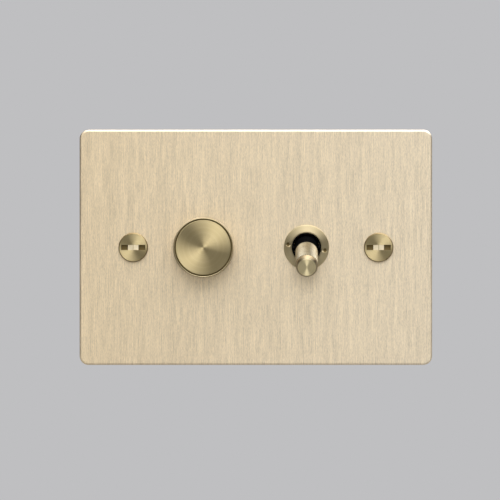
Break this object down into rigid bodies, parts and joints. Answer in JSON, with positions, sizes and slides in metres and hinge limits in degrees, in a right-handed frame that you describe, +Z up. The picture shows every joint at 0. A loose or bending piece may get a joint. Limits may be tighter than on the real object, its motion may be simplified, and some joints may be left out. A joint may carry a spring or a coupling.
{
  "type": "wall switch plate",
  "caption": "Brass wall plate with a push-and-turn dimmer knob, a toggle lever in a ring nut and slotted fixing screws.",
  "frame": {"origin": "centre of the plate's back face, on the wall plane", "axes": "+X to the right seen from the room, +Y into the wall, +Z up; the plate's front faces -Y"},
  "size_m": [0.12, 0.0485, 0.08],
  "materials": {
    "brushed_brass": "satin, brushed",
    "turned_brass": "bright, spun",
    "terminal_brass": "plain",
    "zinc_plate": "zinc plated",
    "spring_steel": "bright",
    "aluminium_sheet": "mill finish",
    "silver_alloy": "bright",
    "copper_alloy": "plain copper",
    "black_nylon": "matte",
    "black_phenolic": "matte",
    "pale_plastic": "matte",
    "circuit_board": "solder mask",
    "phenolic_paper": "matte",
    "carbon_ink": "matte",
    "ferrite": "matte",
    "film_yellow": "glossy"
  },
  "bodies": {
    "wall_unit": {"front_plate": "brushed_brass", "mounting_strap": "zinc_plate", "fixing_screw_left": "turned_brass", "fixing_screw_right": "turned_brass", "screw_retainers": "black_nylon", "earth_terminal": "terminal_brass", "earth_screw": "zinc_plate", "dimmer_bushing": "zinc_plate", "dimmer_nut": "zinc_plate", "dimmer_washer": "zinc_plate", "heat_sink": "aluminium_sheet", "dimmer_case": "pale_plastic", "case_screws": "zinc_plate", "pcb": "circuit_board", "pot_housing": "zinc_plate", "carbon_track": "carbon_ink", "resistor_wafer": "phenolic_paper", "push_switch_case": "black_phenolic", "return_spring": "spring_steel", "choke_core": "ferrite", "choke_winding": "copper_alloy", "capacitor": "film_yellow", "thermal_fuse": "silver_alloy", "triac": "black_phenolic", "triac_screw": "zinc_plate", "dimmer_terminals": "terminal_brass", "dimmer_terminal_screws": "zinc_plate", "ring_nut": "turned_brass", "toggle_neck": "black_phenolic", "socket_liner": "black_nylon", "pivot_pin": "spring_steel", "toggle_cover": "zinc_plate", "toggle_housing": "black_phenolic", "housing_screws": "zinc_plate", "fixed_contacts": "silver_alloy", "common_terminal": "terminal_brass", "line_terminal_1": "terminal_brass", "line_terminal_2": "terminal_brass", "toggle_terminal_screws": "zinc_plate"},
    "push_plunger": {"switch_plunger": "silver_alloy"},
    "knob": {"knob_body": "turned_brass", "knob_face": "turned_brass", "knob_grub_screw": "spring_steel", "spindle": "zinc_plate"},
    "wiper": {"wiper_rotor": "black_nylon", "wiper_contact": "copper_alloy"},
    "lever": {"lever_stem": "zinc_plate", "pivot_ball": "black_nylon", "lever_sleeve": "brushed_brass", "lever_cap": "turned_brass", "plunger_spring": "spring_steel"},
    "lever_plunger": {"plunger": "pale_plastic"},
    "rocker": {"contact_rocker": "copper_alloy", "rocker_contacts": "silver_alloy"}
  },
  "joints": [
    {"name": "knob_press", "type": "slide", "parent": "wall_unit", "child": "push_plunger", "axis": [0, 1, 0], "range_m": [0, 0.0012], "stiffness_N_per_m": 2500, "springref_m": -0.0006, "deforming": ["return_spring"]},
    {"name": "knob_turn", "type": "hinge", "parent": "push_plunger", "child": "knob", "pos_m": [-0.0178, 0, 0], "axis": [0, 1, 0], "range_deg": [-150, 150]},
    {"name": "wiper_turn", "type": "hinge", "parent": "wall_unit", "child": "wiper", "pos_m": [-0.0178, 0, 0], "axis": [0, 1, 0], "range_deg": [-150, 150]},
    {"name": "toggle_flip", "type": "hinge", "parent": "wall_unit", "child": "lever", "pos_m": [0.0172, -0.0019, 0], "axis": [-1, 0, 0], "range_deg": [0, 40]},
    {"name": "plunger_slide", "type": "slide", "parent": "lever", "child": "lever_plunger", "axis": [0, -0.9397, -0.342], "range_m": [0, 0.0008], "stiffness_N_per_m": 400, "springref_m": -0.002, "deforming": ["plunger_spring"]},
    {"name": "rocker_tilt", "type": "hinge", "parent": "wall_unit", "child": "rocker", "pos_m": [0.0172, 0.0135, 0], "axis": [1, 0, 0], "range_deg": [0, 14]}
  ],
  "couplings": [
    {"joint": "wiper_turn", "follows": "knob_turn", "ratio": 1},
    {"joint": "rocker_tilt", "follows": "toggle_flip", "ratio": 0.35}
  ]
}
